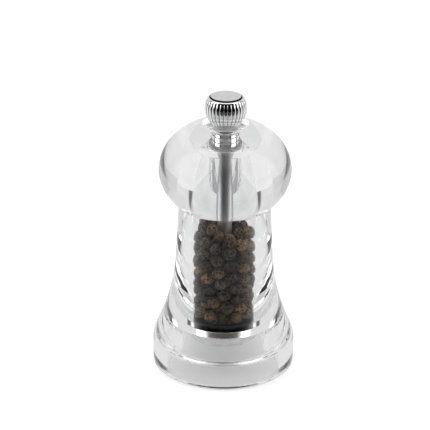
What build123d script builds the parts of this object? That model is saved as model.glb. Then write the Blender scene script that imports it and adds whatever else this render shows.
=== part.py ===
from build123d import *
import os
from math import cos, radians, sin, sqrt

# Clear acrylic pepper mill, millimetres, +Z up.
# The origin is the middle of the face it stands on, and everything turns about Z.

# Body: a turned acrylic foot with a flared neck
BASE_RADIUS = 25.4
BASE_EDGE = 1.6             # rounding of the edge that meets the table
BASE_STRAIGHT = 8.8         # height where the shoulder starts to curve in
SHOULDER_RADIUS = 13.0
SHOULDER_ANGLE = 25.0       # slope from vertical where shoulder and flare meet
FLARE_RADIUS = 75.0
NECK_ANGLE = 3.0            # slope of the nearly straight neck
BODY_HEIGHT = 61.7
CHAMBER_RADIUS = 11.7
CHAMBER_FLOOR = 16.7        # ceiling of the recess that takes the grinder
RECESS_RADIUS = 17.0
FOOT_RECESS_RADIUS = 19.4   # the recess is wider up to this height
FOOT_RECESS_HEIGHT = 8.0
RECESS_ROUNDING = 0.8       # rounding of both corners of that step

# Head: a flattened ball of acrylic over a cylindrical cavity
HEAD_GAP = 0.05             # running gap over the body
HEAD_RADIUS = 23.3
HEAD_HALF_HEIGHT = 18.2
HEAD_CENTRE = 74.7
HEAD_TOP = 91.75            # edge of the bowl that the knob sits in
CAVITY_RADIUS = 11.0
CAVITY_CEILING = 83.0
CAVITY_FILLET = 1.6
BUSH_BORE_RADIUS = 3.8
BOWL_FLOOR = 86.9
BOWL_FLOOR_RADIUS = 4.8
BOWL_MIDDLE = (6.8, 89.1)   # radius and height half way up its curved side
BOWL_MOUTH_RADIUS = 8.15

# Drive: a round rod with square ends, and the bush that the head turns it by
SHAFT_RADIUS = 2.8
SHAFT_SQUARE = 3.9
SHAFT_SHOULDER = 81.8       # top of the round rod
SQUARE_TOP = 87.1
STUD_RADIUS = 1.95
STUD_TOP = 99.2
BEARING_END_RADIUS = 2.0
BEARING_END = 4.9           # lower end of the shaft
SQUARE_CLEARANCE = 0.08
RUNNING_CLEARANCE = 0.05
BUSH_TOP = 87.15
BUSH_FLANGE_RADIUS = 4.6
KNOB_WASHER_RADIUS = 4.3
KNOB_WASHER_TOP = 87.43

# Knob: a fluted chrome ball on a plain neck, closed by a disc that stands proud of its rim
KNOB_RADIUS = 7.4
KNOB_CENTRE = 97.3
KNOB_BOTTOM = 91.6
KNOB_TOP = 101.3
KNOB_NECK_RADIUS = 4.3
KNOB_NECK_BOTTOM = 87.47
FLUTES = 30
FLUTE_RADIUS = 0.3
FLUTE_DEPTH = 0.3
CAP_RADIUS = 5.4
CAP_CLEARANCE = 0.12
CAP_SEAT = 100.6
CAP_EDGE = 101.75           # top of the disc's straight edge
CAP_CROWN = 102.05
INSERT_RADIUS = 3.0
INSERT_TOP = 99.8
THREAD_RELIEF = 0.4         # bore left above the end of the stud

# Grinder, from the recess down
HOUSING_RADIUS = 14.0
HOUSING_EDGE = 1.5          # rounding of its lower outer edge
HOUSING_TOP = 16.68
HOUSING_BOTTOM = 10.5
BURR_SEAT_RADIUS = 11.0
BURR_COLLAR_RADIUS = 11.6   # top of the outer burr, inside the chamber
BURR_TOP = 19.3
BURR_BOTTOM = 12.2
THROAT_HEIGHT = 16.0        # where the feed cone turns into the grinding cone
THROAT_RADIUS = 6.4
FEED_RADIUS = 10.7
GRIND_RADIUS = 7.7
GRIND_GAP = 0.28
CONE_TOP = 19.3
CONE_TOP_RADIUS = 4.2
OUTER_TEETH = 24
OUTER_TOOTH_CUTTER = 0.8    # side of the square cutter
OUTER_TOOTH_TILT = 15.0
INNER_TEETH = 14
INNER_TOOTH_CUTTER = 1.1
INNER_TOOTH_OFFSET = 0.5    # cutter centre outside the cone's middle
INNER_TOOTH_TILT = 18.0
INNER_TOOTH_LEAN = 25.0

# Lower bearing: the bar, its bush, screws, washer and spring
BAR_THICKNESS = 1.2
BAR_WIDTH = 8.0
BAR_HALF_LENGTH = 13.9
BAR_DROP = 3.5              # the middle of the bar hangs this far below its ends
BAR_FLAT = 6.6              # half length of the lowered middle
BAR_RAMP_END = 9.8
BAR_BEND_RADIUS = 0.5
BAR_BUSH_RADIUS = 2.85
BAR_BUSH_FLANGE = 0.9       # the flange stands out this far
BAR_BUSH_FLANGE_HEIGHT = 0.6
SCREW_SPREAD = 12.4
SCREW_RADIUS = 0.8
SCREW_HEAD_RADIUS = 1.5
SCREW_HEAD_HEIGHT = 1.1
SCREW_SLOT_WIDTH = 0.5
SCREW_SLOT_DEPTH = 0.5
SCREW_DEPTH = 4.6           # length of thread in the housing
WASHER_RADIUS = 5.9
WASHER_BORE_CLEARANCE = 0.2
WASHER_THICKNESS = 0.6
SPRING_RADIUS = 4.9
SPRING_WIRE_RADIUS = 0.4
SPRING_TURNS = 3
CLIP_RADIUS = 3.4
CLIP_THICKNESS = 0.55
CLIP_MOUTH = 2.6
GROOVE_DEPTH = 0.35
CONTACT_GAP = 0.02

# Peppercorns: rings of balls against the chamber wall
CORN_RADIUS = 2.35
CORN_GAP = 0.12
CORNS_PER_RING = 12
CORN_RINGS = 10
CORN_FLOOR = BURR_TOP + 0.4
CORN_TOP = 61.0

BAR_TOP = HOUSING_BOTTOM - BAR_DROP
WASHER_TOP = BAR_TOP + CONTACT_GAP + WASHER_THICKNESS
HEAD_BOTTOM = BODY_HEIGHT + HEAD_GAP


def turned(points):
    """Solid of revolution about Z from a closed outline of (radius, height) points."""
    return revolve(Plane.XZ * make_face(Polyline(*points, close=True)), Axis.Z)


def tube(inner, outer, low, high):
    """Ring, or a plain cylinder when the inner radius is 0."""
    return turned([(inner, low), (outer, low), (outer, high), (inner, high)])


def square_bar(side, low, high):
    """Upright bar of square section on the Z axis."""
    return Pos(0, 0, (low + high) / 2) * Box(side, side, high - low)


def make_body():
    """Foot and neck, bored through and recessed from below."""
    shoulder_centre = (BASE_RADIUS - SHOULDER_RADIUS, BASE_STRAIGHT)
    angle = radians(SHOULDER_ANGLE)
    flare_start = (shoulder_centre[0] + SHOULDER_RADIUS * cos(angle),
                   shoulder_centre[1] + SHOULDER_RADIUS * sin(angle))
    flare_centre = (flare_start[0] + FLARE_RADIUS * cos(angle),
                    flare_start[1] + FLARE_RADIUS * sin(angle))
    edge = CenterArc((BASE_RADIUS - BASE_EDGE, BASE_EDGE), BASE_EDGE, -90, 90)
    straight = Line((BASE_RADIUS, BASE_EDGE), (BASE_RADIUS, BASE_STRAIGHT))
    shoulder = CenterArc(shoulder_centre, SHOULDER_RADIUS, 0, SHOULDER_ANGLE)
    flare = CenterArc(flare_centre, FLARE_RADIUS, 180 + SHOULDER_ANGLE,
                      NECK_ANGLE - SHOULDER_ANGLE)
    neck_base = flare @ 1
    neck_radius = neck_base.X - (BODY_HEIGHT - neck_base.Y) * sin(radians(NECK_ANGLE))
    inside = Polyline(neck_base, (neck_radius, BODY_HEIGHT), (0, BODY_HEIGHT),
                      (0, 0), (BASE_RADIUS - BASE_EDGE, 0))
    outline = Curve() + [edge, straight, shoulder, flare, inside]
    body = revolve(Plane.XZ * make_face(outline), Axis.Z)
    body -= tube(0, CHAMBER_RADIUS, 0, BODY_HEIGHT)
    recess = make_face(Polyline((0, 0), (FOOT_RECESS_RADIUS, 0),
                                (FOOT_RECESS_RADIUS, FOOT_RECESS_HEIGHT),
                                (RECESS_RADIUS, FOOT_RECESS_HEIGHT),
                                (RECESS_RADIUS, CHAMBER_FLOOR), (0, CHAMBER_FLOOR), close=True))
    step = recess.vertices().filter_by(lambda v: abs(v.Y - FOOT_RECESS_HEIGHT) < CONTACT_GAP)
    return body - revolve(Plane.XZ * fillet(step, RECESS_ROUNDING), Axis.Z)


def make_head():
    """Flattened ball with a cavity below and a bowl for the knob above."""
    height = HEAD_TOP - HEAD_BOTTOM
    half_oval = Pos(0, HEAD_CENTRE) * Ellipse(HEAD_RADIUS, HEAD_HALF_HEIGHT)
    window = Pos(HEAD_RADIUS / 2, HEAD_BOTTOM + height / 2) * Rectangle(HEAD_RADIUS, height)
    head = revolve(Plane.XZ * (half_oval & window), Axis.Z)
    cavity = tube(0, CAVITY_RADIUS, HEAD_BOTTOM, CAVITY_CEILING)
    cavity = fillet(cavity.edges().sort_by(Axis.Z)[-1], CAVITY_FILLET)
    side = ThreePointArc((BOWL_FLOOR_RADIUS, BOWL_FLOOR), BOWL_MIDDLE,
                         (BOWL_MOUTH_RADIUS, HEAD_TOP))
    rest = Polyline(side @ 1, (0, HEAD_TOP), (0, BOWL_FLOOR), side @ 0)
    head -= cavity
    head -= revolve(Plane.XZ * make_face(Curve() + [side, rest]), Axis.Z)
    head -= tube(0, BUSH_BORE_RADIUS, CAVITY_CEILING, BOWL_FLOOR)
    return head


def make_drive_bush():
    """Flanged bush in the head, with the square hole that turns the shaft."""
    barrel = tube(0, BUSH_BORE_RADIUS, CAVITY_CEILING, BOWL_FLOOR)
    flange = tube(0, BUSH_FLANGE_RADIUS, BOWL_FLOOR, BUSH_TOP)
    hole = square_bar(SHAFT_SQUARE + 2 * SQUARE_CLEARANCE, CAVITY_CEILING, BUSH_TOP)
    return barrel + flange - hole


def make_shaft():
    """Round rod, squared at both ends, with a bearing end below and a stud above."""
    shaft = tube(0, SHAFT_RADIUS, CONE_TOP, SHAFT_SHOULDER)
    shaft += square_bar(SHAFT_SQUARE, SHAFT_SHOULDER, SQUARE_TOP)
    shaft += square_bar(SHAFT_SQUARE, BURR_BOTTOM, CONE_TOP)
    shaft += tube(0, STUD_RADIUS, SQUARE_TOP, STUD_TOP)
    shaft += tube(0, BEARING_END_RADIUS, BEARING_END, BURR_BOTTOM)
    groove = tube(BEARING_END_RADIUS - GROOVE_DEPTH, BEARING_END_RADIUS,
                  BURR_BOTTOM - CLIP_THICKNESS, BURR_BOTTOM)
    return shaft - groove


def make_inner_burr():
    """Toothed cone on the lower square of the shaft."""
    cone = turned([(0, BURR_BOTTOM), (GRIND_RADIUS - GRIND_GAP, BURR_BOTTOM),
                   (THROAT_RADIUS - GRIND_GAP, THROAT_HEIGHT),
                   (CONE_TOP_RADIUS, CONE_TOP), (0, CONE_TOP)])
    cone -= square_bar(SHAFT_SQUARE, BURR_BOTTOM, CONE_TOP)
    middle = (BURR_BOTTOM + CONE_TOP) / 2
    radius = (GRIND_RADIUS + CONE_TOP_RADIUS) / 2 + INNER_TOOTH_OFFSET
    bar = Box(INNER_TOOTH_CUTTER, INNER_TOOTH_CUTTER, 2 * CONE_TOP)
    cutter = Rot(INNER_TOOTH_LEAN, -INNER_TOOTH_TILT, 0) * Rot(0, 0, 45) * bar
    for tooth in range(INNER_TEETH):
        cone -= Rot(0, 0, tooth * 360 / INNER_TEETH) * Pos(radius, 0, middle) * cutter
    return cone


def make_outer_burr():
    """Fixed ring: a feed cone above and a toothed grinding cone below."""
    ring = turned([(GRIND_RADIUS, BURR_BOTTOM), (BURR_SEAT_RADIUS, BURR_BOTTOM),
                   (BURR_SEAT_RADIUS, HOUSING_TOP), (BURR_COLLAR_RADIUS, HOUSING_TOP),
                   (BURR_COLLAR_RADIUS, BURR_TOP), (FEED_RADIUS, BURR_TOP),
                   (THROAT_RADIUS, THROAT_HEIGHT)])
    length = THROAT_HEIGHT - BURR_BOTTOM + 2
    place = Pos((THROAT_RADIUS + GRIND_RADIUS) / 2, 0, (THROAT_HEIGHT + BURR_BOTTOM) / 2 - 1)
    bar = Box(OUTER_TOOTH_CUTTER, OUTER_TOOTH_CUTTER, length)
    cutter = place * Rot(0, -OUTER_TOOTH_TILT, 0) * Rot(0, 0, 45) * bar
    for tooth in range(OUTER_TEETH):
        ring -= Rot(0, 0, tooth * 360 / OUTER_TEETH) * cutter
    return ring


def at_screws(shape):
    """Two copies of a shape, one at each screw."""
    return [Pos(side * SCREW_SPREAD, 0, 0) * shape for side in (-1, 1)]


def make_burr_housing():
    """Chrome ring round the outer burr, under the ceiling of the recess."""
    housing = tube(BURR_SEAT_RADIUS, HOUSING_RADIUS, HOUSING_BOTTOM, HOUSING_TOP)
    low_edges = housing.edges().filter_by(GeomType.CIRCLE).group_by(Axis.Z)[0]
    housing = fillet(low_edges.sort_by(SortBy.RADIUS)[-1], HOUSING_EDGE)
    for hole in at_screws(tube(0, SCREW_RADIUS, HOUSING_BOTTOM, HOUSING_BOTTOM + SCREW_DEPTH)):
        housing -= hole
    return housing


def make_retaining_bar():
    """Stamped bar whose middle is set down to take the spring."""
    def strip(top):
        return [(-BAR_HALF_LENGTH, top), (-BAR_RAMP_END, top), (-BAR_FLAT, top - BAR_DROP),
                (BAR_FLAT, top - BAR_DROP), (BAR_RAMP_END, top), (BAR_HALF_LENGTH, top)]
    outline = strip(HOUSING_BOTTOM) + strip(HOUSING_BOTTOM - BAR_THICKNESS)[::-1]
    profile = make_face(Polyline(*outline, close=True))
    bends = [v for v in profile.vertices() if abs(v.X) < BAR_HALF_LENGTH - 1]
    bar = extrude(Plane.XZ * fillet(bends, BAR_BEND_RADIUS), BAR_WIDTH / 2, both=True)
    bar &= tube(0, BAR_HALF_LENGTH, 0, HOUSING_BOTTOM)
    bar -= tube(0, BAR_BUSH_RADIUS, 0, HOUSING_BOTTOM)
    for hole in at_screws(tube(0, SCREW_RADIUS, 0, HOUSING_BOTTOM)):
        bar -= hole
    return bar


def make_bar_bush():
    """Plastic bush in the bar, the lower bearing of the shaft."""
    bar_underside = BAR_TOP - BAR_THICKNESS
    bore = BEARING_END_RADIUS + RUNNING_CLEARANCE
    barrel = tube(bore, BAR_BUSH_RADIUS, bar_underside, BAR_TOP)
    flange = tube(bore, BAR_BUSH_RADIUS + BAR_BUSH_FLANGE,
                  bar_underside - BAR_BUSH_FLANGE_HEIGHT, bar_underside)
    return barrel + flange


def make_bar_screws():
    """Two screws that hold the bar to the housing, slotted from below."""
    seat = HOUSING_BOTTOM - BAR_THICKNESS
    shank = tube(0, SCREW_RADIUS, seat, HOUSING_BOTTOM + SCREW_DEPTH)
    head = tube(0, SCREW_HEAD_RADIUS, seat - SCREW_HEAD_HEIGHT, seat)
    slot = Pos(0, 0, seat - SCREW_HEAD_HEIGHT) * Box(SCREW_SLOT_WIDTH, 2 * SCREW_HEAD_RADIUS,
                                                     2 * SCREW_SLOT_DEPTH)
    return Compound(children=at_screws(shank + head - slot))


def make_spring_washer():
    """Washer between the turning spring and the bar."""
    bore = BEARING_END_RADIUS + WASHER_BORE_CLEARANCE
    return tube(bore, WASHER_RADIUS, BAR_TOP + CONTACT_GAP, WASHER_TOP)


def make_spring():
    """Compression spring under the inner burr."""
    low = WASHER_TOP + SPRING_WIRE_RADIUS + CONTACT_GAP
    high = BURR_BOTTOM - SPRING_WIRE_RADIUS - CONTACT_GAP
    height = high - low
    path = Pos(0, 0, low) * Helix(height / SPRING_TURNS, height, SPRING_RADIUS)
    section = Plane(origin=path @ 0, z_dir=path % 0) * Circle(SPRING_WIRE_RADIUS)
    return sweep(section, path)


def make_burr_clip():
    """Open retaining clip in the groove under the inner burr."""
    low = BURR_BOTTOM - CLIP_THICKNESS
    clip = tube(BEARING_END_RADIUS - GROOVE_DEPTH, CLIP_RADIUS, low, BURR_BOTTOM)
    mouth = Pos(CLIP_RADIUS, 0, low) * Box(2 * CLIP_RADIUS, CLIP_MOUTH, 3 * CLIP_THICKNESS)
    return clip - mouth


def make_knob():
    """Fluted ball on a neck, hollowed for the insert and the disc."""
    def radius_at(height):
        return sqrt(KNOB_RADIUS ** 2 - (height - KNOB_CENTRE) ** 2)
    side = ThreePointArc((radius_at(KNOB_BOTTOM), KNOB_BOTTOM), (KNOB_RADIUS, KNOB_CENTRE),
                         (radius_at(KNOB_TOP), KNOB_TOP))
    rest = Polyline(side @ 1, (0, KNOB_TOP), (0, KNOB_BOTTOM), side @ 0)
    knob = revolve(Plane.XZ * make_face(Curve() + [side, rest]), Axis.Z)
    path_radius = KNOB_RADIUS + FLUTE_RADIUS - FLUTE_DEPTH
    for flute in range(FLUTES // 2):
        groove_pair = Pos(0, 0, KNOB_CENTRE) * Rot(90, 0, 0) * Torus(path_radius, FLUTE_RADIUS)
        knob -= Rot(0, 0, flute * 360 / FLUTES) * groove_pair
    knob += tube(0, KNOB_NECK_RADIUS, KNOB_NECK_BOTTOM, KNOB_BOTTOM)
    knob -= tube(0, INSERT_RADIUS, KNOB_NECK_BOTTOM, INSERT_TOP)
    knob -= tube(0, CAP_RADIUS + CAP_CLEARANCE, CAP_SEAT, KNOB_TOP)
    return knob


def make_knob_cap():
    """Slightly domed disc let into the top of the knob."""
    dome = ThreePointArc((-CAP_RADIUS, CAP_EDGE), (0, CAP_CROWN), (CAP_RADIUS, CAP_EDGE))
    half_dome = ThreePointArc((CAP_RADIUS, CAP_EDGE), dome @ 0.75, (0, CAP_CROWN))
    rest = Polyline((0, CAP_CROWN), (0, CAP_SEAT), (CAP_RADIUS, CAP_SEAT), (CAP_RADIUS, CAP_EDGE))
    return revolve(Plane.XZ * make_face(Curve() + [half_dome, rest]), Axis.Z)


def make_knob_insert():
    """Threaded insert in the neck and ball of the knob."""
    insert = tube(0, INSERT_RADIUS, KNOB_NECK_BOTTOM, INSERT_TOP)
    bore = tube(0, STUD_RADIUS + RUNNING_CLEARANCE, KNOB_NECK_BOTTOM, STUD_TOP + THREAD_RELIEF)
    return insert - bore


def make_knob_washer():
    """Thin plastic washer between the drive bush and the neck of the knob."""
    return tube(STUD_RADIUS + RUNNING_CLEARANCE, KNOB_WASHER_RADIUS, BUSH_TOP, KNOB_WASHER_TOP)


def make_peppercorns():
    """Balls in staggered rings against the chamber wall."""
    ring_radius = CHAMBER_RADIUS - CORN_RADIUS - CORN_GAP
    step = (CORN_TOP - CORN_FLOOR - 2 * CORN_RADIUS) / (CORN_RINGS - 1)
    corns = []
    for ring in range(CORN_RINGS):
        height = CORN_FLOOR + CORN_RADIUS + ring * step
        turn = (ring % 2) * 180 / CORNS_PER_RING
        for index in range(CORNS_PER_RING):
            angle = radians(index * 360 / CORNS_PER_RING + turn)
            place = Pos(ring_radius * cos(angle), ring_radius * sin(angle), height)
            corns.append(place * Sphere(CORN_RADIUS))
    return Compound(children=corns)


parts = {
    "body": make_body(),
    "head": make_head(),
    "drive_bush": make_drive_bush(),
    "shaft": make_shaft(),
    "inner_burr": make_inner_burr(),
    "outer_burr": make_outer_burr(),
    "burr_housing": make_burr_housing(),
    "retaining_bar": make_retaining_bar(),
    "bar_bush": make_bar_bush(),
    "bar_screws": make_bar_screws(),
    "spring_washer": make_spring_washer(),
    "spring": make_spring(),
    "burr_clip": make_burr_clip(),
    "knob": make_knob(),
    "knob_cap": make_knob_cap(),
    "knob_insert": make_knob_insert(),
    "knob_washer": make_knob_washer(),
    "peppercorns": make_peppercorns(),
}

os.makedirs("parts", exist_ok=True)
for name, shape in parts.items():
    export_step(shape, f"parts/{name}.step")
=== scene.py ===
import math

import bmesh
import bpy
import numpy as np
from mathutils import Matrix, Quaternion, Vector


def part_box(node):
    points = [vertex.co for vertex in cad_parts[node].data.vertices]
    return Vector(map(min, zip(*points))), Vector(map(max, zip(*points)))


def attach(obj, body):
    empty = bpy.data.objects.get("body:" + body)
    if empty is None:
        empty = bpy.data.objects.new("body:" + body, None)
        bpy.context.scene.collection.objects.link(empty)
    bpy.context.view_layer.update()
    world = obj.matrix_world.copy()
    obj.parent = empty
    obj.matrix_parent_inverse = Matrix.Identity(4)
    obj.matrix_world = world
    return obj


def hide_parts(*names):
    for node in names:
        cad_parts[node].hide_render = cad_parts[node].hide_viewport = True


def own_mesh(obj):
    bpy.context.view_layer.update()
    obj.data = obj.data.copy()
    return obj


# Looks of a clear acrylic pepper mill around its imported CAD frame.
# Lengths are in millimetres until a mesh is made; everything is turned about Z.

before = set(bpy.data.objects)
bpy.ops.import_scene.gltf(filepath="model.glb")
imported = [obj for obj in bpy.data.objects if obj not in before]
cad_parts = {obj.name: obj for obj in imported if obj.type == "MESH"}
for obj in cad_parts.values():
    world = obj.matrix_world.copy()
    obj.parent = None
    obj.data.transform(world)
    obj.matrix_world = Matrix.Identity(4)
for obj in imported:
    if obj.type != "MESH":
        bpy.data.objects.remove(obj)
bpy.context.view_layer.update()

MM = 0.001
SEED = 20
SEGMENTS = 192              # points round a large turned piece
SMALL_SEGMENTS = 96
SHARP_ANGLE = math.radians(32)
AXIS_RADIUS = 1e-6          # below this a ring is one point on the axis

# Acrylic, where the frame's boxes don't say it
FOOT_EDGE = 1.6
FINE_EDGE = 0.25
BORE_EDGE = 0.2
CEILING_GAP = 0.02          # between the grinder's housing and the ceiling of the recess
BASE_STRAIGHT = 8.8
SHOULDER_RADIUS = 13.0
SHOULDER_ANGLE = 25.0
FLARE_RADIUS = 75.0
NECK_ANGLE = 3.0
CHAMBER_RADIUS = 11.7
RECESS_RADIUS = 17.0
FOOT_RECESS_RADIUS = 19.4
FOOT_RECESS_HEIGHT = 8.0
RECESS_ROUNDING = 0.8
HEAD_CENTRE = 74.7
HEAD_HALF_HEIGHT = 18.2
CAVITY_RADIUS = 11.0
CAVITY_CEILING = 83.0
CAVITY_FILLET = 1.6
BOWL_FLOOR = 86.9
BOWL_FLOOR_RADIUS = 4.8
BOWL_MIDDLE = (6.8, 89.1)
BOWL_MOUTH_RADIUS = 8.15
OVAL_STEPS = 80

# Drive
SHAFT_RADIUS = 2.8
SHAFT_SQUARE = 3.9
SQUARE_CORNER = 1.36        # radius of the turned corners, as a share of half the square
SHAFT_SHOULDER = 81.8
SQUARE_TOP = 87.1
STUD_RADIUS = 1.95
THREAD_PITCH = 0.7
THREAD_DEPTH = 0.3
THREAD_RUN_IN = 0.8
BEARING_END_RADIUS = 2.0
CONE_TOP = 19.3
BURR_BOTTOM = 12.2
BURR_SEAT_RADIUS = 11.0
HOUSING_EDGE = 1.5
CLIP_THICKNESS = 0.55
GROOVE_DEPTH = 0.35
SQUARE_CLEARANCE = 0.08
BUSH_BARREL_RADIUS = 3.8
SPRING_RADIUS = 4.9
SPRING_WIRE_RADIUS = 0.4
SPRING_TURNS = 4.2
SPRING_CLOSED_TURNS = 0.85      # at each end
SPRING_STEPS = 420
WIRE_SIDES = 14

# Knob
KNOB_CENTRE = 97.3
KNOB_BALL_BOTTOM = 91.6
KNOB_NECK_RADIUS = 4.3
FLUTES = 30
FLUTE_DEPTH = 0.34
FLUTE_ROUNDNESS = 0.93      # 1 makes each rib a half circle across
POINTS_PER_FLUTE = 12
FLUTES_END = 0.35           # below the top of the knob
FLUTES_FADE = 0.4
KNOB_LEVELS = 70
RIM_CHAMFER = 0.12
PAINTED_GROOVE_SHADE_WIDTH = 0.09          # share of the pitch on each side of a groove that is painted dark, as the shade in the groove
INSERT_RADIUS = 3.0
INSERT_TOP = 99.8
CAP_RADIUS = 5.4
CAP_CLEARANCE = 0.12
CAP_SEAT = 100.6
CAP_EDGE = 101.75
CAP_GROOVE = 0.14           # extra width of the bore round the disc, seen as a dark line
BORE_CHAMFER = 0.08
PAINTED_GAP_SHADOW_REACH = 0.09           # how far past the bore the painted shadow of the gap goes
CAP_STEPS = 24

# Peppercorns
CORN_COUNT = 178
CORN_SMALLEST = 1.95
CORN_LARGEST = 2.4
CORN_GAP = 0.05             # to the shaft and to the chamber wall
SETTLE_STEPS = 2200
SETTLE_DROP = 0.03          # fall per step at the start
SETTLE_PUSH = 0.42          # share of an overlap undone in each step
CORN_CELLS = (36, 66)       # fewest cells between wrinkles, and one more than the most
RIDGE_WIDTH = 0.13          # in radians
WRINKLE_DEPTHS = (0.03, 0.075)
CORN_SQUEEZE = 0.07
# painted shade in the wrinkle pits and painted highlights on the ridges, multiplied into each
# corn's tint
PAINTED_PIT_SHADE, PAINTED_RIDGE_HIGHLIGHT = 0.22, 2.0
# (colour, chance)
TINTS = (((0.062, 0.044, 0.031), 0.26), ((0.125, 0.091, 0.064), 0.26),
         ((0.168, 0.113, 0.070), 0.24), ((0.104, 0.086, 0.070), 0.11),
         ((0.235, 0.138, 0.072), 0.07), ((0.390, 0.255, 0.135), 0.06))


def span(node):
    """Outer radius, lowest and highest point of a turned CAD node, in millimetres."""
    low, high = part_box(node)
    return max(high.x, high.y) / MM, low.z / MM, high.z / MM


# ---------------------------------------------------------------- mesh code

def circle(radius, height, count=SEGMENTS):
    """Ring of points about Z, or the single point on the axis."""
    if radius < AXIS_RADIUS:
        return np.array([[0.0, 0.0, height]])
    angle = np.arange(count) * 2 * math.pi / count
    return np.stack([radius * np.cos(angle), radius * np.sin(angle), np.full(count, height)], 1)


def squared(side, height, corner, count=SMALL_SEGMENTS):
    """Ring of a square section whose corners are turned down to a radius."""
    angle = np.arange(count) * 2 * math.pi / count
    reach = side / 2 / np.maximum(np.abs(np.cos(angle)), np.abs(np.sin(angle)))
    radius = np.minimum(reach, corner)
    return np.stack([radius * np.cos(angle), radius * np.sin(angle), np.full(count, height)], 1)


def new_mesh(name, points, faces, sharp=SHARP_ANGLE):
    """Closed mesh object from points in millimetres."""
    mesh = bpy.data.meshes.new(name)
    mesh.from_pydata([tuple(p) for p in np.asarray(points) * MM], [], faces)
    shape = bmesh.new()
    shape.from_mesh(mesh)
    bmesh.ops.recalc_face_normals(shape, faces=shape.faces)
    shape.to_mesh(mesh)
    shape.free()
    mesh.polygons.foreach_set("use_smooth", [True] * len(mesh.polygons))
    mesh.set_sharp_from_angle(angle=sharp)
    piece = bpy.data.objects.new(name, mesh)
    bpy.context.scene.collection.objects.link(piece)
    return piece


def loft(name, rings, sharp=SHARP_ANGLE):
    """Skin over rings in order. It starts and ends on the axis, or else closes on itself."""
    starts = np.cumsum([0] + [len(ring) for ring in rings])
    pairs = list(zip(range(len(rings)), range(1, len(rings))))
    if len(rings[0]) > 1:
        pairs.append((len(rings) - 1, 0))
    faces = []
    for a, b in pairs:
        count = max(len(rings[a]), len(rings[b]))
        for i in range(count):
            j = (i + 1) % count
            if len(rings[a]) == 1:
                faces.append((starts[a], starts[b] + i, starts[b] + j))
            elif len(rings[b]) == 1:
                faces.append((starts[a] + i, starts[a] + j, starts[b]))
            else:
                faces.append((starts[a] + i, starts[a] + j, starts[b] + j, starts[b] + i))
    return new_mesh(name, np.concatenate(rings), faces, sharp)


def arc(centre, radius, start, end, steps):
    """Outline points on a circular arc, angles in degrees from the radial direction."""
    points = []
    for i in range(steps + 1):
        angle = math.radians(start + (end - start) * i / steps)
        points.append((centre[0] + radius * math.cos(angle), centre[1] + radius * math.sin(angle)))
    return points


def arc_through(first, middle, last, steps):
    """Outline points on the circular arc from first to last by way of middle."""
    points = np.array([first, middle, last], float)
    spans = points[1:] - points[0]
    centre = points[0] + np.linalg.solve(2 * spans, (spans ** 2).sum(1))
    angles = np.degrees(np.arctan2(points[:, 1] - centre[1], points[:, 0] - centre[0]))
    return arc(centre, np.linalg.norm(points[0] - centre), angles[0], angles[2], steps)


def rounded(corners, steps=6):
    """Outline with each (radius, height, fillet) corner rounded; a fillet of 0 stays sharp."""
    outline = []
    for k, (x, z, fillet) in enumerate(corners):
        if fillet == 0:
            outline.append((x, z))
            continue
        before = np.array(corners[k - 1][:2]) - (x, z)
        after = np.array(corners[(k + 1) % len(corners)][:2]) - (x, z)
        before /= np.linalg.norm(before)
        after /= np.linalg.norm(after)
        half = math.acos(max(-1.0, min(1.0, float(before @ after)))) / 2
        middle = (before + after) / np.linalg.norm(before + after)
        centre = np.array((x, z)) + middle * fillet / math.sin(half)
        first = np.array((x, z)) + before * fillet / math.tan(half) - centre
        last = np.array((x, z)) + after * fillet / math.tan(half) - centre
        turn = math.pi - 2 * half
        for i in range(steps + 1):
            t = i / steps
            mix = (math.sin((1 - t) * turn) * first + math.sin(t * turn) * last) / math.sin(turn)
            outline.append(tuple(centre + mix))
    return outline


def turned(name, outline, count=SEGMENTS, sharp=SHARP_ANGLE):
    """Solid of revolution from an outline of (radius, height) points."""
    return loft(name, [circle(x, z, count) for x, z in outline], sharp)


# ---------------------------------------------------------------- materials

def principled(name, colour, roughness, **sockets):
    """Material with one Principled shader; returns the material and the shader."""
    material = bpy.data.materials.new(name)
    material.use_nodes = True
    shader = material.node_tree.nodes["Principled BSDF"]
    shader.inputs["Base Color"].default_value = (*colour, 1)
    shader.inputs["Roughness"].default_value = roughness
    for socket, value in sockets.items():
        shader.inputs[socket.replace("_", " ")].default_value = value
    return material, shader


def add(tree, kind, **settings):
    """New node with its properties and input defaults set."""
    node = tree.nodes.new(kind)
    for key, value in settings.items():
        if key in node.inputs:
            node.inputs[key].default_value = value
        else:
            setattr(node, key, value)
    return node


def noise(tree, scale, detail=3.0, stretch=(1, 1, 1)):
    """Noise in the object's own metres; stretch squeezes it along an axis."""
    place = add(tree, "ShaderNodeTexCoord")
    mapping = add(tree, "ShaderNodeMapping", Scale=stretch)
    texture = add(tree, "ShaderNodeTexNoise", Scale=scale, Detail=detail)
    tree.links.new(place.outputs["Object"], mapping.inputs["Vector"])
    tree.links.new(mapping.outputs["Vector"], texture.inputs["Vector"])
    return texture.outputs["Fac"]


def spread(tree, source, low, high, start=0.35, end=0.65):
    """Maps a noise value to a range."""
    node = tree.nodes.new("ShaderNodeMapRange")
    node.inputs["From Min"].default_value = start
    node.inputs["From Max"].default_value = end
    node.inputs["To Min"].default_value = low
    node.inputs["To Max"].default_value = high
    tree.links.new(source, node.inputs["Value"])
    return node.outputs["Result"]


def bump(tree, shader, source, distance, strength=1.0):
    """Bump of a real height in metres."""
    node = tree.nodes.new("ShaderNodeBump")
    node.inputs["Strength"].default_value = strength
    node.inputs["Distance"].default_value = distance
    tree.links.new(source, node.inputs["Height"])
    tree.links.new(node.outputs["Normal"], shader.inputs["Normal"])


def ramp(tree, source, stops):
    """Colour ramp with (position, colour) stops."""
    node = tree.nodes.new("ShaderNodeValToRGB")
    elements = node.color_ramp.elements
    while len(elements) < len(stops):
        elements.new(0.5)
    for element, (position, colour) in zip(elements, stops):
        element.position = position
        element.color = (*colour, 1)
    tree.links.new(source, node.inputs["Fac"])
    return node.outputs["Color"]


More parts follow.
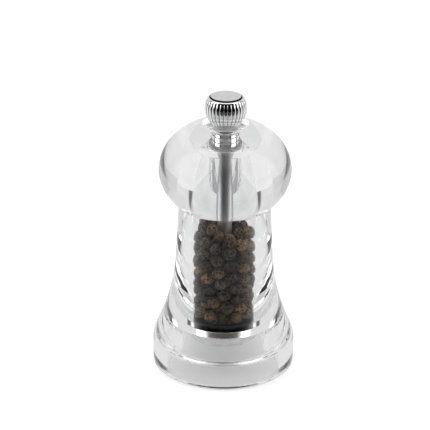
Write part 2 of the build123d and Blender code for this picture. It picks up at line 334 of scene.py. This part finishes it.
def metal(name, dark, light, smooth, rough, scale, stretch=(1, 1, 1), grain=0.0):
    """Metal whose colour and roughness drift a little, with an optional fine grain."""
    material, shader = principled(name, light, smooth, Metallic=1.0)
    tree = material.node_tree
    field = noise(tree, scale, 4.0, stretch)
    colour = ramp(tree, field, [(0.3, dark), (0.65, light)])
    tree.links.new(colour, shader.inputs["Base Color"])
    tree.links.new(spread(tree, field, smooth, rough), shader.inputs["Roughness"])
    if grain:
        bump(tree, shader, noise(tree, scale * 6, 2.0, stretch), grain)
    return material


def make_acrylic():
    """Clear acrylic. The tint halves its plain reflection, which would veil what is inside."""
    material, shader = principled("acrylic", (0.965, 0.967, 0.968), 0.0, IOR=1.49,
                                  Transmission_Weight=1.0,
                                  Specular_Tint=(0.45, 0.45, 0.45, 1))
    tree = material.node_tree
    haze = noise(tree, 900, 5.0, (1, 1, 0.35))
    tree.links.new(spread(tree, haze, 0.0, 0.02, 0.58, 0.8), shader.inputs["Roughness"])
    return material


def make_peppercorn():
    """Dull skin coloured by the mesh's tint attribute, which carries painted shade in the wrinkle
    pits and painted highlights on the ridges, with fine specks.
    """
    material, shader = principled("peppercorn", (0.05, 0.036, 0.026), 0.6,
                                  Specular_IOR_Level=0.18)
    tree = material.node_tree
    tint = add(tree, "ShaderNodeAttribute", attribute_name="tint")
    speck = ramp(tree, noise(tree, 2600, 6.0), [(0.35, (0.62, 0.6, 0.58)), (0.68, (1, 1, 1))])
    mix = add(tree, "ShaderNodeMix", data_type="RGBA", blend_type="MULTIPLY")
    mix.inputs["Factor"].default_value = 1.0
    tree.links.new(tint.outputs["Color"], mix.inputs[6])
    tree.links.new(speck, mix.inputs[7])
    tree.links.new(mix.outputs[2], shader.inputs["Base Color"])
    field = noise(tree, 1500, 5.0)
    tree.links.new(spread(tree, field, 0.48, 0.75), shader.inputs["Roughness"])
    bump(tree, shader, field, 0.00012, 0.8)
    return material


acrylic = make_acrylic()
peppercorn = make_peppercorn()
chrome = metal("chrome", (0.86, 0.86, 0.87), (0.93, 0.93, 0.94), 0.02, 0.05, 220)
# dark chrome along the flute bottoms: painted shade in the grooves
painted_groove_shade = metal("painted_groove_shade", (0.12, 0.12, 0.12), (0.3, 0.3, 0.3), 0.2, 0.3, 900)
satin_chrome = metal("satin_chrome", (0.74, 0.74, 0.75), (0.84, 0.84, 0.85), 0.16, 0.26, 500)
shaft_steel = metal("drawn_steel", (0.56, 0.56, 0.57), (0.74, 0.74, 0.75), 0.4, 0.52, 900,
                    (1, 1, 0.04), 0.000004)
plate_steel = metal("plate_steel", (0.5, 0.5, 0.51), (0.68, 0.68, 0.69), 0.2, 0.36, 700,
                    (1, 0.08, 1), 0.000004)
spring_steel = metal("spring_steel", (0.4, 0.4, 0.42), (0.62, 0.62, 0.63), 0.14, 0.24, 1400)
burr_steel = metal("burr_steel", (0.1, 0.1, 0.105), (0.24, 0.24, 0.25), 0.28, 0.46, 1600,
                   grain=0.00001)
# near-black steel for the outer burr, also painted on the knob's bore and the disc's side as the
# shadow in the gap
black_steel_and_painted_shade = metal("black_steel_and_painted_shade", (0.012, 0.011, 0.01), (0.034, 0.03, 0.026), 0.4, 0.6, 1600,
                    grain=0.00001)
# greyer, rougher chrome on the grinder's housing ring
ring_chrome = metal("greyer_chrome", (0.62, 0.62, 0.63), (0.74, 0.74, 0.75), 0.16, 0.24, 400)
brass = metal("nickel_brass", (0.62, 0.5, 0.3), (0.74, 0.64, 0.44), 0.14, 0.24, 800)


def make_nylon():
    material, shader = principled("nylon", (0.82, 0.82, 0.78), 0.42,
                                  Subsurface_Weight=0.2, Subsurface_Scale=0.0006)
    tree = material.node_tree
    field = noise(tree, 1800, 4.0)
    colour = ramp(tree, field, [(0.3, (0.76, 0.76, 0.72)), (0.7, (0.86, 0.86, 0.83))])
    tree.links.new(colour, shader.inputs["Base Color"])
    bump(tree, shader, field, 0.00001)
    return material


nylon = make_nylon()


def make_pearl():
    """Bright satin plating, part way to a white plastic."""
    material, shader = principled("pearl_plate", (0.88, 0.88, 0.89), 0.3, Metallic=0.1)
    tree = material.node_tree
    field = noise(tree, 700, 4.0)
    colour = ramp(tree, field, [(0.3, (0.84, 0.84, 0.85)), (0.7, (0.93, 0.93, 0.94))])
    tree.links.new(colour, shader.inputs["Base Color"])
    tree.links.new(spread(tree, field, 0.24, 0.36), shader.inputs["Roughness"])
    return material


pearl = make_pearl()


def dress(piece, material, body, slot, *nodes):
    """Material, body and replaced CAD nodes of a new piece; the slot argument is not used."""
    piece.data.materials.append(material)
    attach(piece, body)
    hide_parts(*nodes)


def finish_part(piece, material, low, high, reach):
    """Another material on the faces between two heights and inside a radius, in millimetres."""
    piece.data.materials.append(material)
    slot = len(piece.data.materials) - 1
    for face in piece.data.polygons:
        centre = face.center / MM
        if low < centre.z < high and math.hypot(centre.x, centre.y) < reach:
            face.material_index = slot


# ---------------------------------------------------------------- acrylic body and head

def make_body():
    """Flared body with the chamber bored through it and a stepped recess in the foot."""
    radius, bottom, top = span("body")
    ceiling = span("burr_housing")[2] + CEILING_GAP
    centre = (radius - SHOULDER_RADIUS, BASE_STRAIGHT)
    shoulder = arc(centre, SHOULDER_RADIUS, 0, SHOULDER_ANGLE, 14)
    slope = math.radians(SHOULDER_ANGLE)
    flare_centre = (shoulder[-1][0] + FLARE_RADIUS * math.cos(slope),
                    shoulder[-1][1] + FLARE_RADIUS * math.sin(slope))
    flare = arc(flare_centre, FLARE_RADIUS, 180 + SHOULDER_ANGLE, 180 + NECK_ANGLE, 30)
    neck = flare[-1][0] - (top - flare[-1][1]) * math.sin(math.radians(NECK_ANGLE))
    foot = [(FOOT_RECESS_RADIUS, bottom, FINE_EDGE), (radius, bottom, FOOT_EDGE)]
    rim = [(neck, top, FINE_EDGE), (CHAMBER_RADIUS, top, BORE_EDGE),
           (CHAMBER_RADIUS, ceiling, 0.15), (RECESS_RADIUS, ceiling, 0.3),
           (RECESS_RADIUS, FOOT_RECESS_HEIGHT, RECESS_ROUNDING),
           (FOOT_RECESS_RADIUS, FOOT_RECESS_HEIGHT, RECESS_ROUNDING)]
    corners = foot + [(x, z, 0) for x, z in shoulder + flare[1:]] + rim
    piece = turned("acrylic_body", rounded(corners))
    dress(piece, acrylic, "mill_body", "acrylic", "body")


def make_head():
    """Oval head with a cavity below, a bore, and a bowl for the knob's neck on top."""
    radius, bottom, top = span("head")

    def half_angle(height):
        return math.asin((height - HEAD_CENTRE) / HEAD_HALF_HEIGHT)

    start, end = half_angle(bottom), math.acos(BOWL_MOUTH_RADIUS / radius)
    oval = []
    for i in range(OVAL_STEPS + 1):
        t = start + (end - start) * i / OVAL_STEPS
        oval.append((radius * math.cos(t), HEAD_CENTRE + HEAD_HALF_HEIGHT * math.sin(t), 0))
    bowl = arc_through((BOWL_MOUTH_RADIUS, top), BOWL_MIDDLE, (BOWL_FLOOR_RADIUS, BOWL_FLOOR), 12)
    inside = [(x, z, 0) for x, z in bowl] + [
              (BUSH_BARREL_RADIUS, BOWL_FLOOR, 0), (BUSH_BARREL_RADIUS, CAVITY_CEILING, 0),
              (CAVITY_RADIUS, CAVITY_CEILING, CAVITY_FILLET), (CAVITY_RADIUS, bottom, BORE_EDGE)]
    piece = turned("acrylic_head", rounded(oval + inside, 8))
    dress(piece, acrylic, "turning_head", "acrylic", "head")


# ---------------------------------------------------------------- drive

def make_shaft():
    """Round shaft with a clip groove, squares under the grinder and the bush, and a stud."""
    _, bottom, top = span("shaft")
    count = SMALL_SEGMENTS
    diagonal = SHAFT_SQUARE / 2 * SQUARE_CORNER
    rings = [circle(0, bottom), circle(BEARING_END_RADIUS - 0.3, bottom, count),
             circle(BEARING_END_RADIUS, bottom + 0.3, count)]
    groove = BURR_BOTTOM - CLIP_THICKNESS
    for radius, height in ((BEARING_END_RADIUS, groove),
                           (BEARING_END_RADIUS - GROOVE_DEPTH, groove),
                           (BEARING_END_RADIUS - GROOVE_DEPTH, BURR_BOTTOM)):
        rings.append(circle(radius, height, count))
    rings += [squared(SHAFT_SQUARE, BURR_BOTTOM, diagonal),
              squared(SHAFT_SQUARE, CONE_TOP, diagonal)]
    for radius, height in ((SHAFT_RADIUS, CONE_TOP), (SHAFT_RADIUS, SHAFT_SHOULDER - 0.2),
                           (SHAFT_RADIUS - 0.06, SHAFT_SHOULDER - 0.06)):
        rings.append(circle(radius, height, count))
    rings += [squared(SHAFT_SQUARE, SHAFT_SHOULDER, diagonal),
              squared(SHAFT_SQUARE, SQUARE_TOP - 0.15, diagonal),
              squared(SHAFT_SQUARE - 0.2, SQUARE_TOP, diagonal - 0.15)]
    angle = np.arange(count) * 2 * math.pi / count
    for height in np.arange(SQUARE_TOP, top - 0.3, THREAD_PITCH / 8):
        ring = circle(1.0, height, count)
        phase = (height / THREAD_PITCH - angle / (2 * math.pi)) % 1.0
        run_in = np.clip((height - SQUARE_TOP) / THREAD_RUN_IN, 0, 1)
        depth = THREAD_DEPTH * (1 - np.abs(2 * phase - 1)) * run_in
        ring[:, :2] *= (STUD_RADIUS - depth)[:, None]
        rings.append(ring)
    rings += [circle(STUD_RADIUS - THREAD_DEPTH, top - 0.2, count),
              circle(STUD_RADIUS - THREAD_DEPTH - 0.25, top, count), circle(0, top)]
    piece = loft("drive_shaft", rings)
    dress(piece, shaft_steel, "grinder_shaft", "steel", "shaft")


def make_bush():
    """Flanged bush in the head with a square hole for the shaft."""
    flange_radius, bottom, top = span("drive_bush")
    count = SMALL_SEGMENTS
    outline = rounded([(BUSH_BARREL_RADIUS, bottom, 0.1), (BUSH_BARREL_RADIUS, BOWL_FLOOR, 0),
                       (flange_radius, BOWL_FLOOR, 0), (flange_radius, top, 0.1)])
    side = SHAFT_SQUARE + 2 * SQUARE_CLEARANCE
    rings = [circle(x, z, count) for x, z in outline]
    rings += [squared(side + 0.3, top, 9), squared(side, top - 0.15, 9), squared(side, bottom, 9)]
    piece = loft("head_bush", rings)
    dress(piece, pearl, "turning_head", "steel", "drive_bush")


def make_housing():
    """Ring round the grinder."""
    radius, bottom, top = span("burr_housing")
    outline = rounded([(radius, top, 0.2), (BURR_SEAT_RADIUS, top, 0),
                       (BURR_SEAT_RADIUS, bottom, 0), (radius, bottom, HOUSING_EDGE)], 8)
    piece = turned("burr_housing_ring", outline)
    dress(piece, ring_chrome, "mill_body", "chrome", "burr_housing")


def make_spring():
    """Wire coil whose end turns lie flat against the next ones."""
    low, high = (corner.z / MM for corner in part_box("spring"))
    wire, turns, flat = SPRING_WIRE_RADIUS, SPRING_TURNS, SPRING_CLOSED_TURNS
    t = np.linspace(0, turns, SPRING_STEPS)
    closed = 2 * wire * 1.02
    middle = (high - low - 2 * wire - 2 * flat * closed) / (turns - 2 * flat)
    pitch = np.where((t < flat) | (t > turns - flat), closed, middle)
    z = low + wire + np.concatenate([[0], np.cumsum((pitch[1:] + pitch[:-1]) / 2 * np.diff(t))])
    angle = 2 * math.pi * t
    path = np.stack([SPRING_RADIUS * np.cos(angle),
                     SPRING_RADIUS * np.sin(angle), z], 1)
    tangent = np.gradient(path, axis=0)
    tangent /= np.linalg.norm(tangent, axis=1)[:, None]
    outward = np.stack([np.cos(angle), np.sin(angle), 0 * angle], 1)
    up = np.cross(tangent, outward)
    rings = [path[:1]]
    turn = np.arange(WIRE_SIDES) * 2 * math.pi / WIRE_SIDES
    for k in range(SPRING_STEPS):
        rings.append(path[k] + wire * (np.cos(turn)[:, None] * outward[k]
                                       + np.sin(turn)[:, None] * up[k]))
    rings.append(path[-1:])
    piece = loft("spring_coil", rings)
    dress(piece, spring_steel, "spring_seat", "steel", "spring")
    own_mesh(piece)


# ---------------------------------------------------------------- knob

def make_knob():
    """Fluted ball on a neck, bored for the disc on top and the insert below."""
    radius, bottom, top = span("knob")
    count = FLUTES * POINTS_PER_FLUTE
    # -1 and 1 at the grooves on either side of a rib, 0 on its crest
    across = 2 * ((np.arange(count) % POINTS_PER_FLUTE) / POINTS_PER_FLUTE) - 1
    rib = 1 - np.sqrt(1 - FLUTE_ROUNDNESS * across ** 2)
    rings = [circle(x, z, count) for x, z in (
        (INSERT_RADIUS, bottom), (KNOB_NECK_RADIUS - 0.1, bottom),
        (KNOB_NECK_RADIUS, bottom + 0.1), (KNOB_NECK_RADIUS, KNOB_BALL_BOTTOM))]

    def side(height, fade):
        reach = math.sqrt(radius ** 2 - (height - KNOB_CENTRE) ** 2)
        ring = circle(1.0, height, count)
        ring[:, :2] *= (reach - FLUTE_DEPTH * rib * fade)[:, None]
        return ring

    for height in np.linspace(KNOB_BALL_BOTTOM, top - RIM_CHAMFER, KNOB_LEVELS):
        fade = min(1.0, max(0.0, (top - FLUTES_END - height) / FLUTES_FADE))
        rings.append(side(height, math.sin(fade * math.pi / 2)))
    rim = math.sqrt(radius ** 2 - (top - KNOB_CENTRE) ** 2)
    bore = CAP_RADIUS + CAP_CLEARANCE + CAP_GROOVE
    for x, z in ((rim - RIM_CHAMFER, top), (bore + BORE_CHAMFER, top), (bore, top - BORE_CHAMFER),
                 (bore, CAP_SEAT), (0, CAP_SEAT), (0, INSERT_TOP), (INSERT_RADIUS, INSERT_TOP)):
        rings.append(circle(x, z, count))
    piece = knob_loft("adjusting_knob_shell", rings)
    dress(piece, chrome, "adjusting_knob", "chrome", "knob")
    finish_part(piece, pearl, bottom - 1, KNOB_BALL_BOTTOM, KNOB_NECK_RADIUS + 0.1)
    # the bore wall round the disc is painted near-black: painted shadow in the gap
    finish_part(piece, black_steel_and_painted_shade, CAP_SEAT - 0.1, top + 0.1, bore + PAINTED_GAP_SHADOW_REACH)
    paint_groove_shade(piece)


def paint_groove_shade(piece):
    """Painted shade: dark lines along the bottoms of the flutes."""
    piece.data.materials.append(painted_groove_shade)
    slot = len(piece.data.materials) - 1
    pitch = 2 * math.pi / FLUTES
    highest = span("knob")[2] - 0.4
    for face in piece.data.polygons:
        centre = face.center / MM
        turn = math.atan2(centre.y, centre.x) % pitch
        outside = math.hypot(centre.x, centre.y) > CAP_RADIUS - 0.5
        in_groove = min(turn, pitch - turn) < PAINTED_GROOVE_SHADE_WIDTH * pitch
        if KNOB_BALL_BOTTOM < centre.z < highest and outside and in_groove:
            face.material_index = slot


def knob_loft(name, rings):
    """Loft whose outline passes through the axis: the two axis points close it as two caps."""
    split = [k for k, ring in enumerate(rings) if len(ring) == 1]
    order = rings[split[1]:] + rings[:split[0] + 1]
    return loft(name, order)


def make_cap():
    """Slightly domed disc in the top of the knob."""
    _, seat, crown = span("knob_cap")
    dome = []
    for i in range(CAP_STEPS + 1):
        x = (CAP_RADIUS - 0.1) * (1 - i / CAP_STEPS)
        dome.append((x, CAP_EDGE + (crown - CAP_EDGE) * (1 - (x / CAP_RADIUS) ** 2)))
    outline = [(0, seat), (CAP_RADIUS, seat), (CAP_RADIUS, CAP_EDGE - 0.08)] + dome
    piece = turned("knob_top_disc", outline)
    dress(piece, satin_chrome, "adjusting_knob", "chrome", "knob_cap")
    # the disc's side wall is painted near-black: painted shadow in the gap round it
    finish_part(piece, black_steel_and_painted_shade, seat, CAP_EDGE - 0.03, CAP_RADIUS + 1)


# ---------------------------------------------------------------- peppercorns

def pack_corns(random):
    """Loose fill of the chamber: balls settle under gravity and push each other apart."""
    floor = span("outer_burr")[2]
    lid = span("body")[2] - 0.3
    size = random.uniform(CORN_SMALLEST, CORN_LARGEST, CORN_COUNT)
    near = SHAFT_RADIUS + size + CORN_GAP
    far = CHAMBER_RADIUS - size - CORN_GAP
    distance = np.sqrt(random.uniform(near ** 2, far ** 2))
    angle = random.uniform(0, 2 * math.pi, CORN_COUNT)
    place = np.stack([distance * np.cos(angle), distance * np.sin(angle),
                      random.uniform(floor + 2, lid - 2, CORN_COUNT)], 1)
    gap = size[:, None] + size[None, :]
    for step in range(SETTLE_STEPS):
        place[:, 2] -= SETTLE_DROP * (1 - step / SETTLE_STEPS)
        apart = place[:, None, :] - place[None, :, :]
        reach = np.sqrt((apart ** 2).sum(2)) + np.eye(CORN_COUNT) * 99
        overlap = np.clip(gap - reach, 0, None)
        place += SETTLE_PUSH * (apart / reach[:, :, None] * overlap[:, :, None]).sum(1)
        across = np.hypot(place[:, 0], place[:, 1])
        kept = np.clip(across, near, far)
        place[:, :2] *= (kept / across)[:, None]
        place[:, 2] = np.clip(place[:, 2], floor + size, lid - size)
    return place, size


def corn_shape(random, sphere):
    """Wrinkled skin: (radius factors, how far up a ridge each point is)."""
    cells = random.normal(size=(random.integers(*CORN_CELLS), 3))
    cells /= np.linalg.norm(cells, axis=1)[:, None]
    near = np.sort(np.arccos(np.clip(sphere @ cells.T, -1, 1)), axis=1)
    ridge = np.exp(-((near[:, 1] - near[:, 0]) / RIDGE_WIDTH) ** 2)
    wave = np.zeros(len(sphere))
    for _ in range(4):
        axis = random.normal(size=3)
        wave += 0.008 * np.sin(sphere @ axis * 2.2 + random.uniform(0, 6))
    wrinkle = random.uniform(*WRINKLE_DEPTHS)
    return 1.0 - wrinkle * (1 - ridge) + wave - 0.012, ridge


def make_corns():
    """Wrinkled peppercorns, as a lower and an upper piece."""
    random = np.random.default_rng(SEED)
    place, size = pack_corns(random)
    ball = bmesh.new()
    bmesh.ops.create_icosphere(ball, subdivisions=4, radius=1.0)
    sphere = np.array([v.co[:] for v in ball.verts])
    skin = np.array([[v.index for v in face.verts] for face in ball.faces])
    ball.free()
    chances = np.array([chance for _, chance in TINTS])
    shapes, colours_with_painted_shade = [], []
    for k in range(CORN_COUNT):
        factor, ridge = corn_shape(random, sphere)
        squeeze = 1 - random.uniform(0, CORN_SQUEEZE, 3)
        turn = np.linalg.qr(random.normal(size=(3, 3)))[0]
        shapes.append(place[k] + (sphere * factor[:, None] * squeeze) @ turn * size[k])
        tint = np.array(TINTS[random.choice(len(TINTS), p=chances / chances.sum())][0])
        tint = tint * random.uniform(0.8, 1.25)
        # each corn's tint darkened in the pits and lightened on the ridges: painted shade and
        # painted highlights
        colours_with_painted_shade.append(tint * (PAINTED_PIT_SHADE + PAINTED_RIDGE_HIGHLIGHT * ridge)[:, None])
    order = np.argsort(place[:, 2])
    half = CORN_COUNT // 2
    for name, chosen in (("peppercorns_lower", order[:half]), ("peppercorns_upper", order[half:])):
        faces = np.concatenate([skin + i * len(sphere) for i in range(len(chosen))])
        piece = new_mesh(name, np.concatenate([shapes[k] for k in chosen]),
                         [tuple(f) for f in faces], math.pi)
        colour = np.concatenate([colours_with_painted_shade[k] for k in chosen])
        tints_with_painted_shade = piece.data.attributes.new("tint", "FLOAT_COLOR", "POINT")
        tints_with_painted_shade.data.foreach_set("color", np.column_stack([colour, np.ones(len(colour))]).ravel())
        dress(piece, peppercorn, "mill_body", "peppercorn", "peppercorns")


make_body()
make_head()
make_shaft()
make_bush()
make_housing()
make_spring()
make_knob()
make_cap()
make_corns()

# The outer burr's near-black steel is partly its own dark steel and partly painted shade for the
# dim bottom of the chamber.
CARRIED = {
    "inner_burr": burr_steel, "outer_burr": black_steel_and_painted_shade, "retaining_bar": plate_steel,
    "bar_bush": nylon, "bar_screws": plate_steel, "spring_washer": plate_steel,
    "burr_clip": spring_steel, "knob_insert": brass, "knob_washer": nylon,
}
for node, material in CARRIED.items():
    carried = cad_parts[node]
    for place in carried.material_slots:
        place.material = material


# ---------------------------------------------------------------- studio

ROOM = 0.74                 # light of the room walls; the camera sees them as plain white
TABLE_GLOW = 0.54           # the table is a lit sheet, so its light also comes up through the foot
TABLE_COLOUR = 0.25
TABLE_SEEN = 0.8            # the glow that the camera sees
# Distances on the table are in metres; the first two pairs are measured along Y.
PAINTED_FRONT_SHADE = 0.45          # share of the glow left in front of the mill: painted shade on the table
FRONT_STARTS = (-0.028, -0.055)     # where it starts to drop and where it is down to that share
TABLE_FADES = (-0.18, -0.23)        # where the glow starts to fade out and where it is gone
UNLIT_COLOUR = 0.02         # the table's colour beyond them
PAINTED_SHADOW_UNDER_MILL = 0.68           # share of the glow left under the grinder: a painted shadow on the table
PAINTED_SHADOW_EDGE = (0.004, 0.022)         # radii over which the painted shadow fades out
DARKEST = 0.004             # light of the room where the windows take all of it away
# Azimuth from the camera side, half width, lowest and highest elevation and softness in degrees,
# and the light added to the room's.
WINDOWS = (
    (0, 180, 52, 120, 8, 0.5),         # ceiling panel
    (0, 72, -70, 46, 8, -0.8),         # unlit side behind the camera
    (-109, 7, -30, 40, 4, -0.6),       # dark boards beside the mill
    (109, 7, -30, 40, 4, -0.6),
    (-76, 22, 8, 62, 5, 1.4),          # soft boxes on both sides
    (76, 22, 8, 62, 5, 1.4),
)


def math_node(tree, operation, first, second=None):
    """Math on a socket and a number or socket."""
    node = add(tree, "ShaderNodeMath", operation=operation)
    tree.links.new(first, node.inputs[0])
    if isinstance(second, (int, float)):
        node.inputs[1].default_value = second
    elif second is not None:
        tree.links.new(second, node.inputs[1])
    return node.outputs[0]


def window(tree, azimuth, elevation, place, half, low, high, soft):
    """1 inside a rectangular part of the room, fading to 0 outside it."""
    off = math_node(tree, "ABSOLUTE", math_node(tree, "SUBTRACT", azimuth, math.radians(place)))
    rise = math_node(tree, "SUBTRACT", elevation, math.radians((low + high) / 2))
    result = None
    for value, reach in ((off, half), (math_node(tree, "ABSOLUTE", rise), (high - low) / 2)):
        node = add(tree, "ShaderNodeMapRange", interpolation_type="SMOOTHSTEP")
        node.inputs["From Min"].default_value = math.radians(reach + soft)
        node.inputs["From Max"].default_value = math.radians(reach - soft)
        tree.links.new(value, node.inputs["Value"])
        inside = node.outputs[0]
        result = inside if result is None else math_node(tree, "MULTIPLY", result, inside)
    return result


def seen_or_lit(tree, seen, lit):
    """One value for the camera, another for light that reaches the mill."""
    path = tree.nodes.new("ShaderNodeLightPath")
    mix = add(tree, "ShaderNodeMix", data_type="FLOAT")
    mix.inputs[3].default_value = seen
    tree.links.new(path.outputs["Is Camera Ray"], mix.inputs[0])
    tree.links.new(lit, mix.inputs[2])
    return mix.outputs[0]


def make_floor():
    """Large pale table top, a hair below the foot."""
    outline = [(0, -0.05), (1500, -0.05), (1500, -1.0), (0, -1.0)]
    piece = turned("table_top", outline)
    material, shader = principled("pale_table", (TABLE_COLOUR,) * 3, 0.6)
    tree = material.node_tree
    place = add(tree, "ShaderNodeTexCoord")
    split = add(tree, "ShaderNodeSeparateXYZ")
    tree.links.new(place.outputs["Object"], split.inputs[0])
    near, far = TABLE_FADES
    fade = spread(tree, split.outputs["Y"], 0.0, TABLE_GLOW, far, near)
    away = add(tree, "ShaderNodeVectorMath", operation="LENGTH")
    tree.links.new(place.outputs["Object"], away.inputs[0])
    # painted shade on the table in front of the mill, in the light that reaches the mill
    front = spread(tree, split.outputs["Y"], PAINTED_FRONT_SHADE, 1.0, FRONT_STARTS[1], FRONT_STARTS[0])
    fade = math_node(tree, "MULTIPLY", fade, front)
    # painted shadow of the grinder on the table, in the light that reaches the mill
    shade = spread(tree, away.outputs["Value"], PAINTED_SHADOW_UNDER_MILL, 1.0, *PAINTED_SHADOW_EDGE)
    fade = math_node(tree, "MULTIPLY", fade, shade)
    grey = spread(tree, split.outputs["Y"], UNLIT_COLOUR, TABLE_COLOUR, far, near)
    tree.links.new(seen_or_lit(tree, TABLE_SEEN, fade), shader.inputs["Emission Strength"])
    shader.inputs["Emission Color"].default_value = (1, 1, 1, 1)
    colour = add(tree, "ShaderNodeCombineColor")
    tone = seen_or_lit(tree, TABLE_COLOUR, grey)
    for channel in colour.inputs:
        tree.links.new(tone, channel)
    tree.links.new(colour.outputs[0], shader.inputs["Base Color"])
    piece.data.materials.append(material)


def make_world():
    """Even room changed by the windows: a panel, an unlit side, dark boards and soft boxes."""
    world = bpy.data.worlds.new("studio")
    bpy.context.scene.world = world
    world.use_nodes = True
    tree = world.node_tree
    background = tree.nodes["Background"]
    place = tree.nodes.new("ShaderNodeTexCoord")
    split = add(tree, "ShaderNodeSeparateXYZ")
    tree.links.new(place.outputs["Generated"], split.inputs[0])
    away = math_node(tree, "MULTIPLY", split.outputs["Y"], -1.0)
    azimuth = math_node(tree, "ARCTAN2", split.outputs["X"], away)
    elevation = math_node(tree, "ARCSINE", split.outputs["Z"])
    level = None
    for *shape, light in WINDOWS:
        part = math_node(tree, "MULTIPLY", window(tree, azimuth, elevation, *shape), light)
        level = part if level is None else math_node(tree, "ADD", level, part)
    level = math_node(tree, "MAXIMUM", math_node(tree, "ADD", level, ROOM), DARKEST)
    tree.links.new(seen_or_lit(tree, 1.0, level), background.inputs["Strength"])
    background.inputs["Color"].default_value = (1, 1, 1, 1)


def make_camera():
    """Camera a little above the mill, at the viewing angle of the object."""
    distance, height, elevation = 700.0, 51.0, math.radians(24)
    focal, roll = 1973.0, math.radians(0.63)
    shift = (-9.5, 15.5)
    frame_size, sensor = 430, 36
    camera = bpy.data.cameras.new("camera")
    holder = bpy.data.objects.new("camera", camera)
    bpy.context.scene.collection.objects.link(holder)
    target = Vector((0, 0, height)) * MM
    offset = Vector((0, -math.cos(elevation), math.sin(elevation))) * distance * MM
    holder.location = target + offset
    holder.rotation_mode = "QUATERNION"
    aim = (-offset).to_track_quat("-Z", "Y")
    holder.rotation_quaternion = aim @ Quaternion((0, 0, 1), roll)
    camera.sensor_width = sensor
    camera.lens = focal / frame_size * sensor
    camera.shift_x, camera.shift_y = (value / frame_size for value in shift)
    camera.clip_start, camera.clip_end = 0.01, 10
    bpy.context.scene.camera = holder


make_floor()
make_world()
make_camera()
scene = bpy.context.scene
scene.view_settings.view_transform = "Standard"
scene.cycles.max_bounces = 32
scene.cycles.transmission_bounces = 32
scene.cycles.glossy_bounces = 16
